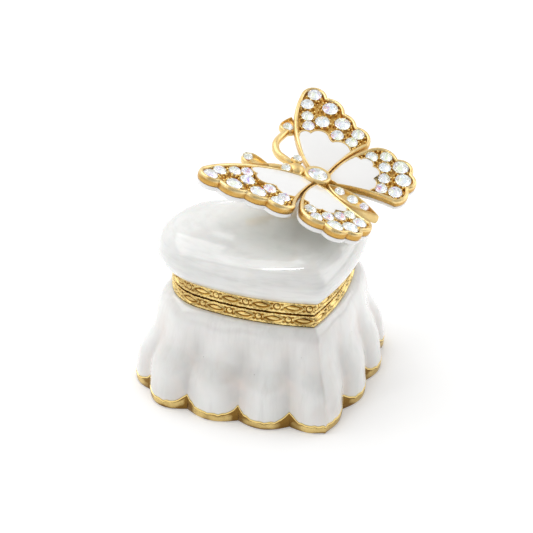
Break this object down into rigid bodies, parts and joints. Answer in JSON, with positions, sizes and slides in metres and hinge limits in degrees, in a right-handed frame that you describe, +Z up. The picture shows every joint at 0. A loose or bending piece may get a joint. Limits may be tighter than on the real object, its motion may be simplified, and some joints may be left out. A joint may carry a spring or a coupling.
{
  "type": "vanity trinket box",
  "caption": "Heart-shaped enamelled trinket box with a hinged cushion lid, stamped metal bands, a pleated skirt base and a jewelled butterfly on the lid.",
  "frame": {"origin": "on the underside, below the middle of the line that joins the centres of the heart's two lobes", "axes": "+Z up, -Y towards the point of the heart, +Y towards the hinge, +X to the side that carries the butterfly"},
  "size_m": [0.0684, 0.0585, 0.061],
  "materials": {
    "enamel": "gloss white enamel over cast metal, with faint grey and pink clouding",
    "stamped_gilt": "bright gilt, stamped",
    "foot_gilt": "pale gilt, satin",
    "satin_gilt": "matt warm gilt, cast",
    "nickel": "plated magnet",
    "crystal": "faceted, iridescent coating"
  },
  "bodies": {
    "base": {"base_shell": "enamel", "base_plate": "foot_gilt", "base_bezel": "stamped_gilt", "base_magnet": "nickel", "hinge_leaf_base": "stamped_gilt", "hinge_pin": "stamped_gilt"},
    "lid": {"lid_shell": "enamel", "lid_bezel": "stamped_gilt", "lid_magnet": "nickel", "hinge_leaf_lid": "stamped_gilt", "butterfly_body": "satin_gilt", "butterfly_head": "satin_gilt", "butterfly_post": "satin_gilt", "antenna_right": "satin_gilt", "antenna_left": "satin_gilt", "forewing_right": "satin_gilt", "forewing_left": "satin_gilt", "hindwing_right": "satin_gilt", "hindwing_left": "satin_gilt", "crystal_forewing_right_01": "crystal", "crystal_forewing_right_02": "crystal", "crystal_forewing_right_03": "crystal", "crystal_forewing_right_04": "crystal", "crystal_forewing_right_05": "crystal", "crystal_forewing_right_06": "crystal", "crystal_forewing_right_07": "crystal", "crystal_forewing_right_08": "crystal", "crystal_forewing_right_09": "crystal", "crystal_forewing_right_10": "crystal", "crystal_forewing_left_01": "crystal", "crystal_forewing_left_02": "crystal", "crystal_forewing_left_03": "crystal", "crystal_forewing_left_04": "crystal", "crystal_forewing_left_05": "crystal", "crystal_forewing_left_06": "crystal", "crystal_forewing_left_07": "crystal", "crystal_forewing_left_08": "crystal", "crystal_forewing_left_09": "crystal", "crystal_forewing_left_10": "crystal", "crystal_hindwing_right_01": "crystal", "crystal_hindwing_right_02": "crystal", "crystal_hindwing_right_03": "crystal", "crystal_hindwing_right_04": "crystal", "crystal_hindwing_right_05": "crystal", "crystal_hindwing_right_06": "crystal", "crystal_hindwing_right_07": "crystal", "crystal_hindwing_right_08": "crystal", "crystal_hindwing_left_01": "crystal", "crystal_hindwing_left_02": "crystal", "crystal_hindwing_left_03": "crystal", "crystal_hindwing_left_04": "crystal", "crystal_hindwing_left_05": "crystal", "crystal_hindwing_left_06": "crystal", "crystal_hindwing_left_07": "crystal", "crystal_hindwing_left_08": "crystal", "crystal_thorax": "crystal", "crystal_abdomen_1": "crystal", "crystal_abdomen_2": "crystal", "crystal_abdomen_3": "crystal"}
  },
  "joints": [
    {"name": "lid_hinge", "type": "hinge", "parent": "base", "child": "lid", "pos_m": [0, 0.0151, 0.029], "axis": [-1, 0, 0], "range_deg": [0, 95]}
  ]
}
